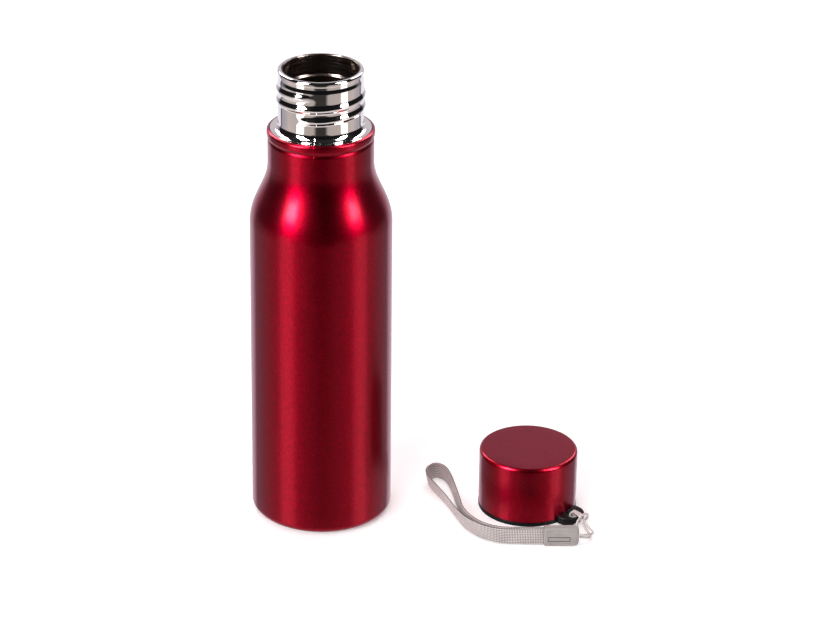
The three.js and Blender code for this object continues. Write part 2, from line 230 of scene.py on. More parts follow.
def red_lacquer(name, lines):
    """The lacquer over metal that was turned on a lathe, or over a plain pressed face."""
    finish, shader = new_finish(
        name, Metallic=1.0, Anisotropic=lines, Anisotropic_Rotation=0.25, Coat_Weight=1.0,
        Coat_Roughness=0.2, Coat_IOR=1.18, Specular_Tint=(1.0, 0.86, 0.98, 1))
    links, place = finish.node_tree.links, place_of(finish)
    flake = add_node(finish, "TexVoronoi", {"Vector": place, "Scale": 4200.0})
    glint = add_node(finish, "SeparateColor", {"Color": flake.outputs["Color"]}).outputs[0]
    cloud = grain(finish, place, 60, 3)
    mottle = grain(finish, place, 900, 2)
    mixed = reckon(finish, "MULTIPLY", glint, mottle)
    links.new(tints(finish, mixed, [(0.05, 0.20, 0.0, 0.008), (0.3, 0.29, 0.0, 0.012),
                                    (0.62, 0.46, 0.0, 0.020)]), shader.inputs["Base Color"])
    links.new(between(finish, cloud, 0.3, 0.7, 0.32, 0.36), shader.inputs["Roughness"])
    if lines:
        round_it = add_node(finish, "Tangent", direction_type="RADIAL", axis="Z")
        links.new(round_it.outputs[0], shader.inputs["Tangent"])
    peel = relief(finish, shader, mottle, 0.00004, 0.35)
    if lines:
        relief(finish, shader, weld_line(finish, place), 0.00006, 1.0, peel)
    return finish


def weld_line(finish, place):
    """One where the tube's own long weld shows, just left of the front, and nothing elsewhere.
    It shows only where the collar, the bead and the foot of the neck were rolled."""
    apart = add_node(finish, "SeparateXYZ", {"Vector": place})
    side = reckon(finish, "SUBTRACT", apart.outputs[0], bottle_axis.x)
    front = reckon(finish, "SUBTRACT", bottle_axis.y, apart.outputs[1])
    turn = reckon(finish, "ARCTAN2", side, front)
    away = reckon(finish, "ABSOLUTE", reckon(finish, "SUBTRACT", turn, math.radians(weld_turn)))
    line = between(finish, away, math.radians(0.2), math.radians(0.75), 1, 0)
    starts = between(finish, apart.outputs[2], (collar_top - 3) * MM, (collar_top - 0.5) * MM)
    ends = between(finish, apart.outputs[2], (bead_top + 3.5) * MM, (bead_top + 5) * MM, 1, 0)
    return reckon(finish, "MULTIPLY", line, reckon(finish, "MULTIPLY", starts, ends))


def dress(piece, finish, body, slot, *nodes):
    """Gives a piece its finish and its body, and hides the CAD nodes that it stands for. The slot
    is not used.
    """
    piece.data.materials.append(finish)
    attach(piece, body)
    if nodes:
        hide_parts(*nodes)
    return piece


bottle_axis = across("outer_shell")
steel_sheet, body_radius, body_taper = 0.4, 36.5, 0.4
heel_radius, foot_width, wall_height, shoulder_length, shoulder_pull = 4, 4, 162.5, 33, 0.39
bead_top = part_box("outer_shell")[1].z / MM
bead_radius, bead_height, bead_land, collar_inset = 27.15, 4.1, 1.4, 0.4
groove_length, groove_depth, collar_length = 2.2, 0.55, 11.5
collar_radius = bead_radius - collar_inset
shoulder_radius = body_radius - body_taper
shoulder_top = wall_height + shoulder_length
collar_top = shoulder_top + collar_length
groove_middle = collar_top + groove_length / 2
bead_base = bead_top - bead_height
weld_turn = -7

heel = body_radius - heel_radius
outer_face = [(heel - foot_width, 0), (heel - foot_width / 2, 0)]
outer_face += arc(heel, heel_radius, heel_radius, -90, 0, 12)
outer_face += finer([(body_radius, heel_radius), (shoulder_radius, wall_height)], 8)[1:-1]
outer_face += s_curve(shoulder_radius, wall_height, collar_radius, shoulder_top, shoulder_pull, 40)
outer_face += rounded([
    (collar_radius, shoulder_top, 0), (collar_radius, collar_top - 0.2, 2.6),
    (collar_radius - groove_depth, groove_middle, 0.7), (bead_radius, bead_base + 0.6, 1.6),
    (bead_radius, bead_top - 0.7, 2.2), (bead_radius - bead_land, bead_top, 0)], 8)[1:]
inner_face = [(bead_radius - bead_land, bead_top - 0.8), (bead_radius - bead_land, bead_base),
              (collar_radius - groove_depth - steel_sheet, collar_top)]
inner_face += s_curve(shoulder_radius - steel_sheet, wall_height, collar_radius - steel_sheet,
                      shoulder_top, shoulder_pull, 24)[::-1]
inner_face += arc(heel, heel_radius, heel_radius - steel_sheet, 0, -90, 8)
inner_face += [(heel - foot_width, steel_sheet)]
lacquer = red_lacquer("red_lacquer", 0.68)
bottle_wall = turned("bottle_wall", outer_face + inner_face, bottle_axis, 192)
dress(bottle_wall, lacquer, "bottle", "red_paint", "outer_shell")

# ---------------------------------------------------------------- Neck with its rolled thread
# The bare end of the same tube, polished bright. The thread is pressed in from inside, so its
# crests are round and fade out at both ends, and a fillet sweeps out to the painted bead.
rim_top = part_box("threaded_neck")[1].z / MM
neck_radius, fillet_radius, fillet_land, wall_gap = 21.4, 3.9, 0.15, 0.3
thread_pitch, thread_turns, thread_rise, thread_half_width = 6, 2.1, 0.95, 2.6
thread_bottom, thread_start, thread_fade = bead_top + 10.2, -39, 38
rim_round, rim_neck_in, rim_width, rim_seam = 1.15, 0.62, 2.35, 0.62


def rolled_thread(bottom, start, turns, rise, half_width, fade, pitch=thread_pitch):
    """How far a round ridge stands out at an angle from the front and a height."""
    def stands(angle, z):
        best = 0
        for lap in range(-1, math.ceil(turns) + 1):
            along = math.degrees(angle) - start + 360 * lap
            if not 0 <= along <= 360 * turns:
                continue
            away = abs(z - bottom - pitch * along / 360)
            if away < half_width:
                ends = min(1, along / fade, (360 * turns - along) / fade)
                ease = ends * ends * (3 - 2 * ends)
                best = max(best, rise * ease * (1 + math.cos(math.pi * away / half_width)) / 2)
        return best
    return stands


def polished_steel():
    """Mirror-bright steel with a faint smear, the marks of its drawing and the weld line."""
    finish, shader = new_finish("polished_steel", Metallic=1.0)
    links, place = finish.node_tree.links, place_of(finish)
    smear = grain(finish, place, 90, 4)
    lines = grain(finish, place, 260, 2, (0.15, 0.15, 6))
    links.new(tints(finish, smear, [(0.3, 0.86, 0.83, 0.81), (0.7, 0.94, 0.92, 0.91)]),
              shader.inputs["Base Color"])
    links.new(between(finish, smear, 0.35, 0.7, 0.035, 0.09), shader.inputs["Roughness"])
    drawn = relief(finish, shader, lines, 0.00001, 0.25)
    relief(finish, shader, weld_line(finish, place), 0.00005, 1.0, drawn)
    return finish


flange_radius = neck_radius + fillet_radius + fillet_land
thread_rise_at = rolled_thread(thread_bottom, thread_start, thread_turns, thread_rise,
                               thread_half_width, thread_fade)
neck_face = [(flange_radius, bead_top - steel_sheet), (flange_radius, bead_top)]
neck_face += arc(neck_radius + fillet_radius, bead_top + fillet_radius, fillet_radius,
                 -90, -180, 12)
neck_face += finer(rounded([
    (neck_radius, bead_top + fillet_radius, 0), (neck_radius, rim_top - 5.9, 3),
    (neck_radius - rim_neck_in, rim_top - 2.9, 1.6), (neck_radius + 0.1, rim_top - 2.2, 0.5),
    (neck_radius + 0.1, rim_top - rim_round, 0)], 8), 0.28)[1:]
neck_face += arc(neck_radius + 0.1 - rim_round, rim_top - rim_round, rim_round, 0, 90, 8)[1:]
bore_radius = neck_radius - rim_width
neck_face += [(bore_radius + rim_seam, rim_top)]
neck_back = [
    (bore_radius + rim_seam, rim_top - steel_sheet), (neck_radius - steel_sheet, rim_top - 1.6),
    (neck_radius - steel_sheet, bead_top + fillet_radius)]
neck_back += arc(neck_radius + fillet_radius - steel_sheet, bead_top + fillet_radius - steel_sheet,
                 fillet_radius, 180, 270, 8)
shows_thread = len(neck_face)
bright_steel = polished_steel()
neck = turned("bottle_neck", neck_face + neck_back, bottle_axis, 224,
              lambda i, a, z: thread_rise_at(a, z) if i < shows_thread else 0, 40)
dress(neck, bright_steel, "bottle", "polished_steel", "threaded_neck")

# ---------------------------------------------------------------- Inner flask
# A second steel wall hangs from the rim. It steps in at a ledge under the mouth, widens into
# the body and ends in a pressed floor, welded on, with air drawn out between the two walls.
flask_low, flask_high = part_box("inner_liner")
floor_low, floor_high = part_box("liner_base")
flask_radius = (flask_high.x - flask_low.x) / 2 / MM
ledge_depth, ledge_width, mouth_round, mouth_drop = 11.2, 0.8, 0.45, 0.12
ledge = rim_top - ledge_depth
tube_radius = bore_radius - ledge_width
flask_bottom = flask_low.z / MM
inside_wall = wall_height - 4


def drawn_steel(name, tint, rough, swirl):
    """Satin steel of that tint, its fine marks squeezed along the way that it was drawn."""
    finish, shader = new_finish(name, Metallic=1.0)
    links, place = finish.node_tree.links, place_of(finish)
    lines = grain(finish, place, 500, 3, swirl)
    cloud = grain(finish, place, 45, 3)
    links.new(tints(finish, cloud, [(0.3, *[0.86 * c for c in tint]), (0.7, *tint)]),
              shader.inputs["Base Color"])
    links.new(between(finish, lines, 0.3, 0.7, rough, rough + 0.16), shader.inputs["Roughness"])
    relief(finish, shader, lines, 0.00002, 0.4)
    return finish


flask_face = [(flask_radius, flask_bottom)]
flask_face += s_curve(flask_radius, inside_wall, tube_radius + steel_sheet, collar_top,
                      shoulder_pull, 24)
flask_face += [
    (tube_radius + steel_sheet, ledge - steel_sheet), (bore_radius + steel_sheet, ledge),
    (bore_radius + steel_sheet + 0.1, rim_top - 0.5),
    (bore_radius + steel_sheet + 0.1, rim_top - mouth_drop)]
flask_face += arc(bore_radius + mouth_round, rim_top - mouth_drop - mouth_round, mouth_round,
                  90, 180, 6)
flask_face += rounded([(bore_radius, rim_top - 1, 0), (bore_radius, ledge + 0.7, 0.6),
                       (tube_radius, ledge - 0.1, 0.6), (tube_radius, ledge - 4, 0)])
flask_face += s_curve(flask_radius - steel_sheet, inside_wall, tube_radius, collar_top,
                      shoulder_pull, 24)[::-1]
flask_face += [(flask_radius - steel_sheet, flask_bottom)]
# The flask's steel gets a dark warm tint: painted shade, standing in for the shade deep inside the
# flask.
flask_steel_painted_shade = drawn_steel("flask_steel_painted_shade", (0.24, 0.19, 0.17), 0.12, (0.2, 0.2, 5))
flask = turned("inner_flask", flask_face, bottle_axis, 144)
dress(flask, flask_steel_painted_shade, "bottle", "liner_steel", "inner_liner")

floor_bottom, floor_rim = floor_low.z / MM, floor_high.z / MM
floor_corner = floor_rim - floor_bottom
floor_edge = flask_radius - floor_corner
flask_floor = turned("flask_floor", [(0, floor_bottom)] +
                     arc(floor_edge, floor_rim, floor_corner, -90, 0, 10) +
                     arc(floor_edge, floor_rim, floor_corner - steel_sheet, 0, -90, 10) +
                     [(0, floor_bottom + steel_sheet)], bottle_axis, 144)
dress(flask_floor, flask_steel_painted_shade, "bottle", "liner_steel", "liner_base")

# ---------------------------------------------------------------- Base
# A pressed cup closes the outer wall, with a dimple where the air is drawn out through a small
# hole. A bead of solder seals the hole, and a thin polished disc is stuck over it.
plate_low, plate_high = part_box("outer_base")
disc_low, disc_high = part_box("base_disc")
plate_radius = (plate_high.x - plate_low.x) / 2 / MM
recess, dimple_radius, dimple_height, hole_radius = 2.4, 6, 1.5, 0.8
disc_radius = (disc_high.x - disc_low.x) / 2 / MM

base_steel = drawn_steel("base_steel", (0.62, 0.60, 0.58), 0.24, (1, 1, 1))
dimple_top, dimple_flat = recess + dimple_height, dimple_radius - dimple_height
under = rounded([
    (hole_radius, dimple_top, 0), (dimple_flat, dimple_top, 0.8), (dimple_radius, recess, 0.8),
    (disc_radius + 3, recess, 0), (plate_radius - 0.8, recess, 1.2),
    (plate_radius - steel_sheet, wall_gap, 0), (plate_radius, wall_gap, 0),
    (plate_radius, recess + steel_sheet, 0.6), (dimple_radius, recess + steel_sheet, 0),
    (dimple_flat, dimple_top + steel_sheet, 0), (hole_radius, dimple_top + steel_sheet, 0)])
base_plate = turned("base_plate", under, bottle_axis, 144)
dress(base_plate, base_steel, "bottle", "base_steel", "outer_base")

low, high, flat_radius = disc_low.z / MM, disc_high.z / MM, disc_radius - 1.5
cover_disc = turned("cover_disc", [(0, low)] + rounded([
    (flat_radius, low, 0), (disc_radius, low, 0.15), (disc_radius, high, 0.15),
    (flat_radius, high, 0)]) + [(0, high)], bottle_axis, 128)
dress(cover_disc, base_steel, "bottle", "base_steel", "base_disc")

solder = drawn_steel("solder", (0.5, 0.5, 0.52), 0.3, (1, 1, 1))
for hidden in ("seal_bead", "getter"):
    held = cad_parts[hidden]
    held.data.materials.clear()
    held.data.materials.append(solder)

# ---------------------------------------------------------------- Cap
# A pressed metal cup in the same lacquer, pushed over a black moulded insert. The insert has
# the inner thread, the seal's seat and a flange that keeps the strap ring on.
cap_axis = across("cap_shell")
cap_low, cap_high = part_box("cap_shell")
seal_low, seal_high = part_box("cap_seal")
cap_radius = (cap_high.x - cap_low.x) / 2 / MM
cap_sheet, cap_edge, cap_bottom, cap_top = 0.6, 1.9, cap_low.z / MM, cap_high.z / MM
cap_inner = cap_radius - cap_sheet

cap_face = finer([(cap_radius, cap_bottom), (cap_radius, cap_top - cap_edge)], 5)[:-1]
cap_face += arc(cap_radius - cap_edge, cap_top - cap_edge, cap_edge, 0, 90, 12)
cap_face += [(r, cap_top) for r in (18, 12, 6)]
cap_back = [(0, cap_top), (0, cap_top - cap_sheet), (cap_inner - cap_edge, cap_top - cap_sheet)]
cap_back += [(cap_inner - 0.5, cap_top - cap_edge), (cap_inner, cap_top - cap_edge - 1),
             (cap_inner, cap_bottom)]
join = len(cap_face)
whole = cap_face + cap_back
cap_cup = turned("cap_cup", whole[join + 1:] + whole[:join + 1], cap_axis, 176)
dress(cap_cup, lacquer, "cap", "red_paint", "cap_shell")
cap_cup.data.materials.append(red_lacquer("red_lacquer_top", 0.0))
for face in cap_cup.data.polygons:
    face.material_index = int(face.normal.z > 0.97)


def black_plastic():
    """Black moulded plastic with a low shine and fine pits."""
    finish, shader = new_finish("black_plastic", Metallic=0.0, Specular_IOR_Level=0.12)
    links, place = finish.node_tree.links, place_of(finish)
    pits = grain(finish, place, 2600, 2)
    cloud = grain(finish, place, 120, 3)
    links.new(tints(finish, cloud, [(0.3, 0.004, 0.0035, 0.004), (0.7, 0.009, 0.008, 0.009)]),
              shader.inputs["Base Color"])
    links.new(between(finish, cloud, 0.3, 0.7, 0.26, 0.38), shader.inputs["Roughness"])
    relief(finish, shader, pits, 0.00003, 0.5)
    return finish


moulding = black_plastic()
insert_bore, insert_wall, flange_height, flange_bottom = 22.7, 2.05, 0.7, wall_gap
insert_radius = insert_bore + insert_wall
snap_radius, snap_depth = insert_radius - 1.05, 1.2
insert_top, seal_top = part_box("cap_insert")[1].z / MM, seal_high.z / MM
cap_thread_start, cap_thread_turns, cap_thread_rise = 8, 1.4, 0.9
cap_thread_half_width, cap_thread_fade = 1.7, 25
cap_thread = rolled_thread(cap_thread_start, thread_start, cap_thread_turns, cap_thread_rise,
                           cap_thread_half_width, cap_thread_fade)
insert_inside = finer([(insert_bore, seal_top + wall_gap), (insert_bore, flange_bottom)], 0.5)
insert_face = rounded([
    (insert_bore, flange_bottom, 0), (snap_radius + snap_depth, flange_bottom, 0.3),
    (snap_radius + snap_depth, flange_bottom + flange_height, 0.2),
    (snap_radius, flange_bottom + flange_height, 0), (snap_radius, cap_bottom, 0),
    (insert_radius, cap_bottom, 0), (insert_radius, insert_top - cap_edge - 1, 0.5),
    (insert_radius - cap_edge, insert_top, 0.5), (12, insert_top, 0)])[1:] + [(0, insert_top)]
threaded_rows = len(insert_inside) + 1
insert = turned(
    "cap_moulding", [(0, seal_top + wall_gap)] + insert_inside + insert_face, cap_axis, 144,
    lambda i, a, z: -cap_thread(a, z) if 1 < i < threaded_rows else 0)
dress(insert, moulding, "cap", "black_plastic", "cap_insert")


def pale_silicone():
    """Milky silicone that lets a little light in."""
    finish, shader = new_finish("pale_silicone", Subsurface_Weight=0.15, Subsurface_Scale=0.001)
    links, place = finish.node_tree.links, place_of(finish)
    cloud = grain(finish, place, 300, 3)
    links.new(tints(finish, cloud, [(0.3, 0.72, 0.71, 0.68), (0.7, 0.80, 0.79, 0.77)]),
              shader.inputs["Base Color"])
    links.new(between(finish, cloud, 0.3, 0.7, 0.45, 0.6), shader.inputs["Roughness"])
    relief(finish, shader, cloud, 0.00003, 0.4)
    return finish


seal_bottom, seal_outer = seal_low.z / MM, (seal_high.x - seal_low.x) / 2 / MM
seal_inner = bore_radius - 0.8
seal = turned("cap_gasket", rounded([
    (seal_inner + 1, seal_bottom, 0), (seal_outer, seal_bottom, 0.5), (seal_outer, seal_top, 0.5),
    (seal_inner, seal_top, 0.4), (seal_inner, seal_bottom, 0.4),
    (seal_inner + 0.99, seal_bottom, 0)]), cap_axis, 128)
dress(seal, pale_silicone(), "cap", "silicone", "cap_seal")

# ---------------------------------------------------------------- Strap ring and its lug
# A black moulded ring that turns freely under the cap's edge. A round lug on its side, with a
# hole, holds the strap. Its two legs go down beside the string to just over the table.
ring_low, ring_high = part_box("strap_ring")
ring_height, ring_radius = 2, cap_radius + 0.15
lug_angle, lug_reach, lug_half_width, lug_bar, lug_hole = 50, 9.6, 8, 1.8, 3.7
lug_height, lug_bottom = 2.6, 1.8
leg_bottom, legs_apart, leg_inwards, leg_inset = 0.3, 9.2, 3.6, 0.03
ring_lip, ring_pocket = snap_radius + wall_gap, snap_radius + snap_depth + wall_gap
lip_bottom = flange_bottom + flange_height + wall_gap
lug_turn = math.radians(lug_angle)
outwards = Vector((math.sin(lug_turn), -math.cos(lug_turn), 0))
sideways = Vector((math.cos(lug_turn), math.sin(lug_turn), 0))
lug_bar_middle = cap_radius + lug_reach - lug_bar / 2
strap_origin = cap_axis + outwards * lug_bar_middle * MM


def joined(piece, other, how="UNION"):
    """Unites two closed pieces into one, or cuts the second out of the first."""
    mixer = piece.modifiers.new("mix", "BOOLEAN")
    mixer.operation, mixer.object, mixer.solver = how, other, "EXACT"
    seen = piece.evaluated_get(bpy.context.evaluated_depsgraph_get())
    mesh = bpy.data.meshes.new_from_object(seen)
    piece.modifiers.clear()
    piece.data = mesh
    bpy.data.objects.remove(other)
    return piece


def tablet(name, outline, hole, bottom, height, edge):
    """A flat tablet with a hole, its edges rounded. Outline and hole are rings of equal count."""
    rings = [(outline, 0.0, bottom + edge)]
    steps = 4
    for k in range(1, steps + 1):
        a = math.pi / 2 * k / steps
        rings.insert(0, (outline, edge * (1 - math.cos(a)), bottom + edge * (1 - math.sin(a))))
    rings += [(outline, edge * (1 - math.cos(math.pi / 2 * k / steps)),
               bottom + height - edge * (1 - math.sin(math.pi / 2 * k / steps)))
              for k in range(steps + 1)]
    rings += [(hole, edge * (1 - math.cos(math.pi / 2 * k / steps)),
               bottom + height - edge * (1 - math.sin(math.pi / 2 * k / steps)))
              for k in range(steps, -1, -1)]
    rings += [(hole, edge * (1 - math.cos(math.pi / 2 * k / steps)),
               bottom + edge * (1 - math.sin(math.pi / 2 * k / steps)))
              for k in range(steps + 1)]
    verts, faces, count = [], [], len(outline)
    for ring, inset, z in rings:
        inwards = -1 if ring is outline else 1
        for k, spot in enumerate(ring):
            along = (ring[(k + 1) % count] - ring[k - 1]).normalized()
            out = Vector((along.y, -along.x, 0))
            verts.append(spot + out * inwards * inset * MM + Vector((0, 0, z * MM)))
    for i in range(len(rings)):
        j = (i + 1) % len(rings)
        for k in range(count):
            m = (k + 1) % count
            faces.append((i * count + k, i * count + m, j * count + m, j * count + k))
    return piece_from(name, verts, faces, 40)


def ring_of(centre, radius, count=72):
    """Points round a circle that lies flat, measured along the lug and across it."""
    made = []
    for k in range(count):
        a = 2 * math.pi * k / count
        made.append(centre + (outwards * math.cos(a) + sideways * math.sin(a)) * radius * MM)
    return made


def block(name, x, y, z, right=Vector((1, 0, 0)), back=Vector((0, 1, 0))):
    """A plain box between two places along each way, in millimetres from the lug's bar."""
    verts = [strap_origin + (right * a + back * b + Vector((0, 0, c))) * MM
             for a in x for b in y for c in z]
    faces = [(0, 1, 3, 2), (4, 6, 7, 5), (0, 4, 5, 1), (2, 3, 7, 6), (0, 2, 6, 4), (1, 5, 7, 3)]
    return piece_from(name, verts, faces)


lug_centre = cap_axis + outwards * (cap_radius + lug_reach - lug_half_width) * MM
hole_centre = cap_axis + outwards * (lug_bar_middle - lug_bar / 2 - lug_hole) * MM
ring = turned("strap_swivel", rounded([
    (ring_pocket + 0.3, 0, 0), (ring_radius, 0, 0.55), (ring_radius, ring_height, 0.25),
    (ring_lip, ring_height, 0.2), (ring_lip, lip_bottom, 0.1), (ring_pocket, lip_bottom, 0),
    (ring_pocket, 0.01, 0.1), (ring_pocket + 0.29, 0, 0)]), cap_axis, 160)
lug = tablet("lug", ring_of(lug_centre, lug_half_width), ring_of(hole_centre, lug_hole),
             lug_bottom - 0.5, lug_height + 0.5, 0.6)
legs = tablet("legs", ring_of(lug_centre, lug_half_width - leg_inset),
              ring_of(hole_centre, lug_hole + leg_inset), leg_bottom,
              lug_bottom + 0.9 - leg_bottom, 0.45)
under_bar = block("under_bar", (-leg_inwards, lug_half_width), (-legs_apart / 2, legs_apart / 2),
                  (-1, lug_bottom + 0.3), outwards, sideways)
legs = joined(legs, under_bar, "DIFFERENCE")
lug = joined(lug, legs)
room_inside = turned("room_inside", [(0, -1), (ring_lip + 0.5, -1), (ring_lip + 0.5, 1.9),
                                     (cap_radius + 0.2, 2.1), (cap_radius + 0.2, 9), (0, 9)],
                     cap_axis, 160)
lug = joined(lug, room_inside, "DIFFERENCE")
ring = joined(ring, lug)
ring.data.set_sharp_from_angle(angle=math.radians(35))
dress(ring, moulding, "strap_ring", "black_plastic", "strap_ring")

# ---------------------------------------------------------------- Wrist strap webbing
# A woven tape stands on its edge, goes out, turns round at the far loop and comes back on
# itself, so that both ends meet in the crimp. Its near strand leans outwards as it lies.
tape_width, tape_thickness, tape_lift, tape_grip = 9, 1.2, 0.5, 12
crimp_length, crimp_height, crimp_thickness = 18.1, 10, 5.4
crimp_right, crimp_away = -2.2, -21.2
crimp_left = crimp_right - crimp_length
ply_gap = (tape_thickness + 0.5) / 2
tape_route = [
    (crimp_left + tape_grip, crimp_away - ply_gap), (crimp_left, crimp_away - ply_gap),
    (-32, -22.05), (-42.3, -21.35), (-49.9, -18.15), (-55.55, -13.35), (-60.55, -6.65),
    (-64.95, 3.85), (-69.05, 15.85), (-74.05, 27.85), (-77.55, 36.85), (-77.95, 43.35),
    (-74.05, 48.15), (-69.25, 45.35), (-66.35, 36.85), (-64.35, 24.85), (-62.55, 11.85),
    (-61.35, 2.85), (-58.65, -5.15), (-54.15, -12.05), (-48.9, -16.65), (-42, -19.65),
    (-32, -20.35),
    (crimp_left, crimp_away + ply_gap), (crimp_left + tape_grip, crimp_away + ply_gap)]
tape_lean = [0, 0, 2, 5, 8, 10, 12, 14, 15, 15, 13, 9, 5, 2, 0, 0, 0, 0, 0, 0, 0, 0, 0, 0, 0]
weave_pitch, tape_rows = 0.86, 9


def smooth_line(points, step):
    """A smooth curve through the points, with a point at every step along it."""
    dense, last = [], len(points) - 1
    for i in range(last):
        p0, p1, p2, p3 = (points[min(max(k, 0), last)] for k in (i - 1, i, i + 1, i + 2))
        for k in range(24):
            t = k / 24
            dense.append(0.5 * (2 * p1 + (p2 - p0) * t + (2 * p0 - 5 * p1 + 4 * p2 - p3) * t**2 +
                                (3 * p1 - p0 - 3 * p2 + p3) * t**3))
    dense.append(points[-1])
    far = [0]
    for a, b in zip(dense, dense[1:]):
        far.append(far[-1] + (b - a).length)
    count, made, k = max(2, round(far[-1] / step)), [], 0
    for i in range(count + 1):
        want = far[-1] * i / count
        while k < len(far) - 2 and far[k + 1] < want:
            k += 1
        made.append(dense[k].lerp(dense[k + 1], (want - far[k]) / max(1e-12, far[k + 1] - far[k])))
    return made


def woven_tape():
    """Warm grey yarn: a stitch in each square of the weave, with painted shade darkening the gaps
    between them.
    """
    finish, shader = new_finish("woven_tape", Sheen_Weight=0.25, Sheen_Roughness=0.5,
                                Specular_IOR_Level=0.35)
    links = finish.node_tree.links
    cloth = add_node(finish, "TexCoord").outputs["UV"]
    apart = add_node(finish, "SeparateXYZ", {"Vector": cloth})
    along, over = apart.outputs[0], apart.outputs[1]

    def wave(value, power):
        turns = reckon(finish, "MULTIPLY", value, math.pi)
        return reckon(finish, "POWER", reckon(finish, "ABSOLUTE", reckon(finish, "SINE", turns)),
                      power)

    stitch = reckon(finish, "MULTIPLY", wave(along, 1.0), wave(over, 0.8))
    fibre = grain(finish, place_of(finish), 5200, 3)
    cloud = grain(finish, place_of(finish), 160, 3)
    yarn = reckon(finish, "MULTIPLY", stitch, between(finish, fibre, 0.2, 0.8, 0.72, 1.12))
    wear_and_gap_shade = reckon(finish, "MULTIPLY", yarn, between(finish, cloud, 0.25, 0.75, 0.88, 1.1))
    # The darkest stops paint the shade in the gaps of the weave; the cloud gives the yarn's real
    # random tone.
    links.new(tints(finish, wear_and_gap_shade, [(0.02, 0.09, 0.055, 0.055), (0.42, 0.55, 0.475, 0.465),
                                   (0.9, 0.93, 0.87, 0.87)]), shader.inputs["Base Color"])
    links.new(between(finish, fibre, 0.3, 0.7, 0.7, 0.9), shader.inputs["Roughness"])
    relief(finish, shader, yarn, 0.00018, 0.6)
    return finish


tape_points = [Vector((x, y, lean)) for (x, y), lean in zip(tape_route, tape_lean)]
tape_line = smooth_line(tape_points, weave_pitch / 4)
tape_verts, tape_faces, tape_uvs = [], [], []
face_steps = tape_rows * 4
for i, point in enumerate(tape_line):
    ahead = tape_line[min(i + 1, len(tape_line) - 1)] - tape_line[max(i - 1, 0)]
    ahead.z = 0
    ahead.normalize()
    out = Vector((-ahead.y, ahead.x, 0))
    lean = math.radians(point.z)
    up = Vector((0, 0, math.cos(lean))) + out * math.sin(lean)
    face = up.cross(ahead).normalized()
    foot = Vector((point.x, point.y, tape_lift + 0.02)) - out * math.sin(lean) * tape_width / 2
    rib = abs(math.sin(math.pi * i / 4))
    for side in (1, -1):
        for k in range(face_steps + 1):
            part = k / face_steps if side > 0 else 1 - k / face_steps
            selvedge = min(1, 6 * min(part, 1 - part) + 0.45)
            row = abs(math.sin(math.pi * part * tape_rows))
            proud = tape_thickness / 2 * selvedge - 0.09 * (1 - rib) - 0.07 * (1 - row)
            spot = foot + up * (tape_width * part) + face * (side * proud)
            tape_verts.append(strap_origin + spot * MM)
            tape_uvs.append((i / 4, part * tape_rows))
ring_count = 2 * (face_steps + 1)
for i in range(len(tape_line) - 1):
    for k in range(ring_count):
        m = (k + 1) % ring_count
        tape_faces.append((i * ring_count + k, i * ring_count + m, (i + 1) * ring_count + m,
                           (i + 1) * ring_count + k))
tape_faces += [tuple(range(ring_count)),
               tuple(range(len(tape_verts) - ring_count, len(tape_verts)))]
tape = piece_from("wrist_tape", tape_verts, tape_faces, 80)
spread = tape.data.uv_layers.new(name="cloth")
for corner in tape.data.loops:
    spread.data[corner.index].uv = tape_uvs[corner.vertex_index]
dress(tape, woven_tape(), "strap", "webbing", "strap_webbing")

# ---------------------------------------------------------------- Crimp
# Two grey moulded halves are welded together over the tape's two ends and the string's knot.
# The front one has a plain sunk frame, with nothing in it.
crimp_nose, crimp_shoulder, crimp_heel, half_gap = 3, 1.9, 1.1, 0.3
frame_left, frame_right, frame_bottom, frame_top = 2.2, 13.6, 2.8, 5.5
frame_line, frame_depth = 0.36, 0.35


def grey_plastic(name, shade):
    """Matt warm grey plastic; a copy darkened by the shade factor paints the shade inside a narrow
    recess.
    """
    finish, shader = new_finish(name, Specular_IOR_Level=0.45 * shade)
    links, place = finish.node_tree.links, place_of(finish)
    cloud = grain(finish, place, 220, 3)
    pits = grain(finish, place, 3200, 2)
    light, lighter = ([c * shade for c in tint]
                      for tint in ((0.36, 0.322, 0.312), (0.41, 0.37, 0.36)))
    links.new(tints(finish, cloud, [(0.3, *light), (0.7, *lighter)]), shader.inputs["Base Color"])
    links.new(between(finish, pits, 0.3, 0.7, 0.42, 0.56), shader.inputs["Roughness"])
    relief(finish, shader, pits, 0.00004, 0.5)
    return finish


def crimp_outline(inset):
    """The crimp's outline, in from its edge by a little, as (x, z)."""
    left, right = crimp_left + inset, crimp_right - inset
    low, high = inset, crimp_height - inset
    turns = [(right, low, crimp_nose, -90), (right, high, crimp_shoulder, 0),
             (left, high, crimp_heel, 90), (left, low, crimp_heel, 180)]
    made = []
    for x, z, size, start in turns:
        size = max(0.3, size - inset)
        x += -size if x == right else size
        z += size if z == low else -size
        made += arc(x, z, size, start, start + 90, 8)
    return made


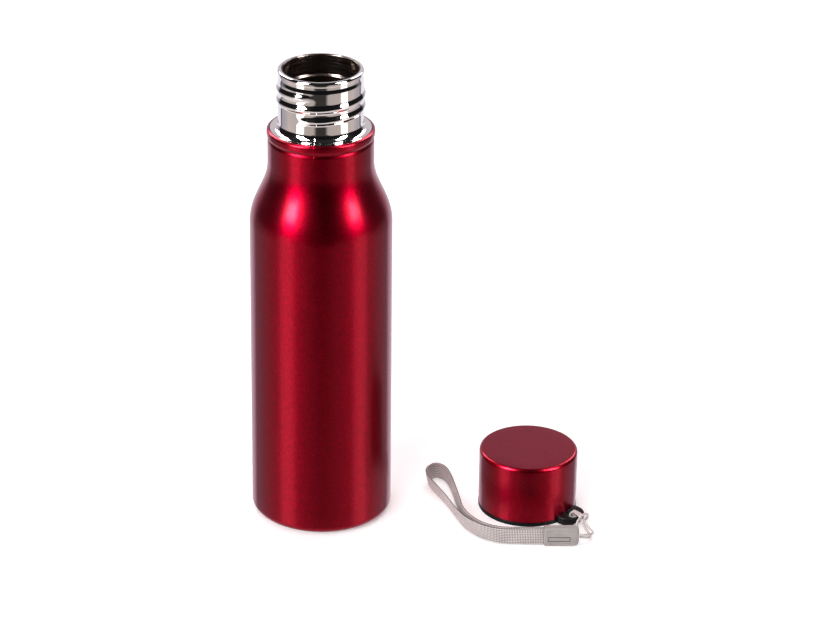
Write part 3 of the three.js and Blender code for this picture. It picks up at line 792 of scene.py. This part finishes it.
grey, recess_painted_shade = grey_plastic("grey_plastic", 1.0), grey_plastic("grey_recess_painted_shade", 0.42)
for name, node, side in (("crimp_face", "crimp_front", -1), ("crimp_rear", "crimp_back", 1)):
    thick = (crimp_thickness - half_gap) / 2
    plane = crimp_away + side * half_gap / 2
    steps = [(0.12, 0), (0, 0.12), (0, thick - 0.85), (0.10, thick - 0.48), (0.28, thick - 0.2),
             (0.5, thick - 0.05), (0.8, thick), (1.25, thick), (1.4, thick + 0.14),
             (1.6, thick + 0.14), (1.75, thick)]
    verts, faces = [], []
    for inset, out in steps:
        verts += [strap_origin + Vector((x, plane + side * out, z)) * MM
                  for x, z in crimp_outline(inset)]
    count = len(crimp_outline(0))
    for i in range(len(steps) - 1):
        for k in range(count):
            m = (k + 1) % count
            faces.append((i * count + k, i * count + m, (i + 1) * count + m, (i + 1) * count + k))
    faces += [tuple(range(count)), tuple(range(len(verts) - count, len(verts)))]
    half = piece_from(name, verts, faces, 50)
    room = (2 * tape_thickness + 0.5 + 0.6) / 2
    half = joined(half, block("block", (crimp_left - 1, crimp_left + tape_grip + half_gap),
                              sorted((plane - side, crimp_away + side * room)),
                              (tape_lift - half_gap, tape_lift + tape_width + half_gap)),
                  "DIFFERENCE")
    if side < 0:
        face = plane + side * thick
        x0, x1 = crimp_left + frame_left, crimp_left + frame_right
        for x, z in (((x0, x1), (frame_bottom, frame_bottom + frame_line)),
                     ((x0, x1), (frame_top - frame_line, frame_top)),
                     ((x0, x0 + frame_line), (frame_bottom + 0.1, frame_top - 0.1)),
                     ((x1 - frame_line, x1), (frame_bottom + 0.1, frame_top - 0.1))):
            half = joined(half, block("block", x, (face - 1, face + frame_depth), z),
                          "DIFFERENCE")
    half.data.set_sharp_from_angle(angle=math.radians(40))
    dress(half, grey, "strap", "grey_plastic", node)
    if side < 0:
        # The sunk frame's faces get the darker copy: painted shade in the recess, on the same
        # plastic as the rest.
        half.data.materials.append(recess_painted_shade)
        for part in half.data.polygons:
            spot = (part.center - strap_origin) / MM
            if (x0 - 0.1 < spot.x < x1 + 0.1 and frame_bottom - 0.1 < spot.z < frame_top + 0.1
                    and face + 0.05 < spot.y < face + frame_depth + 0.1):
                part.material_index = 1

# ---------------------------------------------------------------- String
# A thin braided cord leaves the crimp, folds back to the lug, is hitched round its bar and
# comes back beside itself. The whole of it shows, about 103 mm long and 1.2 mm thick.
string_diameter = 1.24
string_route = [
    (12.5, -17.6, 4.2), (13.6, -16.3, 3.9), (14.2, -13.6, 2.9), (14, -10.6, 1.9),
    (12.7, -8.5, 1.7), (10.6, -7.3, 1.9), (8.1, -6.2, 2.6), (5.6, -4.9, 3.7), (3.2, -3.3, 4.9),
    (1.3, -2.2, 5.6), (0, -1.7, 5.8), (-2.6, -0.9, 5.7), (-4.6, -0.3, 5.3), (-5.6, -0.4, 4.1),
    (-5.4, -1.2, 2.6), (-4.6, -1.9, 1.5), (-3.1, -2.4, 0.9), (-1.2, -2.9, 0.8), (0.1, -3.8, 0.85),
    (1.2, -4.9, 1.3), (1.9, -5.5, 2.6), (2.4, -5.3, 4.2), (2.7, -4.3, 5.7), (2.8, -2.6, 6.6),
    (2.8, -0.7, 6.7), (2.8, 1.2, 6.2), (2.8, 2.6, 5.1), (2.6, 3.2, 3.6), (1.9, 3.2, 2),
    (0.6, 2.6, 0.95), (-0.9, 2.1, 0.8), (-3.1, 2.2, 0.9), (-4.6, 2.1, 1.6), (-5.4, 1.7, 2.8),
    (-5.6, 1.1, 4.1), (-4.6, 1.1, 5.3), (-2.6, 0.6, 5.7), (0, -0.1, 5.8), (1.4, -0.6, 5.6),
    (3.2, -1.7, 4.9), (5.6, -3.3, 3.9), (8.2, -4.7, 3.3), (10.8, -5.8, 3), (13, -7, 3.1),
    (14.7, -9.3, 3.7), (15, -13, 4.7), (14.3, -16.4, 5.7), (12.5, -17.6, 5.8)]
braid_pitch, braid_strands, string_step = 2.6, 4, 0.16


def braided_string():
    """Pale yarn, with painted shade darkening it where two strands of the braid cross."""
    finish, shader = new_finish("braided_string", Sheen_Weight=0.3, Sheen_Roughness=0.45,
                                Specular_IOR_Level=0.35)
    links = finish.node_tree.links
    cloth = add_node(finish, "TexCoord").outputs["UV"]
    strand = add_node(finish, "SeparateXYZ", {"Vector": cloth}).outputs[0]
    fibre = grain(finish, place_of(finish), 6500, 3)
    yarn = reckon(finish, "MULTIPLY", strand, between(finish, fibre, 0.2, 0.8, 0.75, 1.1))
    # The darkest stop paints the shade in the dips between the strands of the braid.
    links.new(tints(finish, yarn, [(0.04, 0.12, 0.065, 0.06), (0.5, 0.50, 0.42, 0.41),
                                   (0.95, 0.90, 0.84, 0.83)]), shader.inputs["Base Color"])
    links.new(between(finish, fibre, 0.3, 0.7, 0.65, 0.85), shader.inputs["Roughness"])
    relief(finish, shader, yarn, 0.0001, 0.5)
    return finish


knots = [strap_origin + outwards * a * MM + sideways * b * MM + Vector((0, 0, c * MM))
         for a, b, c in string_route]
string_line = smooth_line(knots, string_step * MM)
verts, faces, crests = [], [], []
around, side = 20, sideways.copy()
for i, point in enumerate(string_line):
    after, before = string_line[min(i + 1, len(string_line) - 1)], string_line[max(i - 1, 0)]
    ahead = (after - before).normalized()
    side = (side - ahead * side.dot(ahead)).normalized()
    over = ahead.cross(side)
    turns = 2 * math.pi * i * string_step / braid_pitch
    for k in range(around):
        a = 2 * math.pi * k / around
        left = abs(math.cos((braid_strands * a + turns * 2) / 2))
        right = abs(math.cos((braid_strands * a - turns * 2) / 2))
        crest = max(left, right) ** 0.8 * (0.55 + 0.45 * min(1, left + right - 0.5))
        radius = string_diameter / 2 * (0.84 + 0.2 * crest)
        verts.append(point + (side * math.cos(a) + over * math.sin(a)) * radius * MM)
        crests.append(crest)
for i in range(len(string_line) - 1):
    for k in range(around):
        m = (k + 1) % around
        faces.append((i * around + k, i * around + m, (i + 1) * around + m, (i + 1) * around + k))
faces += [tuple(range(around)), tuple(range(len(verts) - around, len(verts)))]
string = piece_from("wrist_string", verts, faces, 80)
spread = string.data.uv_layers.new(name="cloth")
for corner in string.data.loops:
    spread.data[corner.index].uv = (crests[corner.vertex_index], 0.5)
dress(string, braided_string(), "strap", "string", "strap_string")

# ---------------------------------------------------------------- Table and light
# A white table, tall soft boxes at the front and the back with their light thrown up again by
# the table, broad fill from above, and a dark room with a pale table all round.
table = piece_from("table", [Vector((x, y, 0)) for x, y in ((-4, -4), (4, -4), (4, 5), (-4, 5))],
                   [(0, 1, 2, 3)])
table_top, shader = new_finish("white_table", Roughness=0.9)
speck = grain(table_top, place_of(table_top), 3, 2)
table_top.node_tree.links.new(
    tints(table_top, speck, [(0.3, 0.93, 0.92, 0.93), (0.7, 0.95, 0.945, 0.95)]),
    shader.inputs["Base Color"])
shader.inputs["Emission Color"].default_value = (1, 0.985, 0.995, 1)
shader.inputs["Emission Strength"].default_value = 0.35
table.data.materials.append(table_top)
table.visible_glossy = False
table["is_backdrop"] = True


def soft_box(name, turn, rise, away, width, height, power, sees):
    """A soft box at that turn from the front, towards +X, and rise above the table, in degrees."""
    lamp = bpy.data.lights.new(name, "AREA")
    lamp.shape, lamp.size, lamp.size_y, lamp.energy = "RECTANGLE", width, height, power
    holder = bpy.data.objects.new(name, lamp)
    a, e = math.radians(turn), math.radians(rise)
    way = Vector((math.sin(a) * math.cos(e), -math.cos(a) * math.cos(e), math.sin(e)))
    aim = Vector((0, 0, 0.11))
    holder.location = aim + way * away
    holder.rotation_euler = (-way).to_track_quat("-Z", "Y").to_euler()
    holder.visible_camera = False
    holder.visible_glossy, holder.visible_diffuse = sees == "glossy", sees == "diffuse"
    bpy.context.scene.collection.objects.link(holder)
    return holder


soft_box("left_box", -56, 38, 1.5, 0.46, 1.0, 58, sees="glossy")
soft_box("right_box", 62, 38, 1.5, 0.46, 1.0, 36, sees="glossy")
soft_box("left_bounce", -58, -24, 1.5, 0.56, 1.0, 1.9, sees="glossy")
soft_box("right_bounce", 65, -24, 1.5, 0.56, 1.0, 1.7, sees="glossy")
soft_box("rear_left_box", -140, 36, 1.8, 0.5, 1.0, 12, sees="glossy")
soft_box("rear_right_box", 140, 36, 1.8, 0.5, 1.0, 12, sees="glossy")
soft_box("top_fill", 180, 75, 1.6, 1.6, 1.6, 22, sees="diffuse")
soft_box("front_fill", -38, 34, 1.6, 1.2, 1.0, 19, sees="diffuse")

world = bpy.data.worlds.new("studio")
bpy.context.scene.world = world
world.use_nodes = True
backing = world.node_tree.nodes["Background"]
way_seen = add_node(world, "TexCoord").outputs["Generated"]
sight = add_node(world, "SeparateXYZ", {"Vector": way_seen})
towards_back = between(world, sight.outputs[1], -1, 1)
below = tints(world, towards_back, [
    (0.0, 0.04, 0.035, 0.033), (0.047, 0.04, 0.035, 0.033), (0.064, 0.46, 0.41, 0.38),
    (0.55, 0.58, 0.50, 0.48), (0.68, 0.42, 0.39, 0.43), (0.78, 0.40, 0.37, 0.42),
    (0.80, 0.04, 0.04, 0.04), (0.815, 0.04, 0.04, 0.04), (0.84, 0.85, 0.80, 0.87),
    (1.0, 0.92, 0.88, 0.94)])
above = tints(world, towards_back, [
    (0.0, 0.006, 0.006, 0.007), (0.8, 0.01, 0.009, 0.01), (0.9, 0.55, 0.52, 0.56),
    (1.0, 0.62, 0.58, 0.62)])
level = between(world, sight.outputs[2], -0.24, -0.12)
near = between(world, sight.outputs[2], -0.52, -0.66)
ground = add_node(world, "MixRGB", {"Fac": near, "Color1": below, "Color2": (0.82, 0.75, 0.75, 1)})
room = add_node(world, "MixRGB", {"Fac": level, "Color1": ground.outputs[0], "Color2": above})
ceiling = between(world, sight.outputs[2], 0.6, 0.75)
studio = add_node(world, "MixRGB", {"Fac": ceiling, "Color1": room.outputs[0],
                                    "Color2": (0.02, 0.02, 0.02, 1)})
world.node_tree.links.new(studio.outputs[0], backing.inputs["Color"])
backing.inputs["Strength"].default_value = 1.0

# ---------------------------------------------------------------- Camera
# A long lens, a good metre and a half away and a little above.
camera = bpy.data.objects.new("camera", bpy.data.cameras.new("camera"))
bpy.context.scene.collection.objects.link(camera)
focal_over_width = 40 / 11
camera.data.sensor_width = 36
camera.data.lens = focal_over_width * camera.data.sensor_width
camera.data.shift_x, camera.data.shift_y = 0.095, 0.0
camera.data.clip_start, camera.data.clip_end = 0.1, 20
camera.location = (bottle_axis.x + 0.0066, -1.38567, 0.78068)
camera.rotation_euler = (math.radians(64.25), 0, 0)
bpy.context.scene.camera = camera
bpy.context.scene.view_settings.view_transform = "Standard"

low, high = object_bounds()
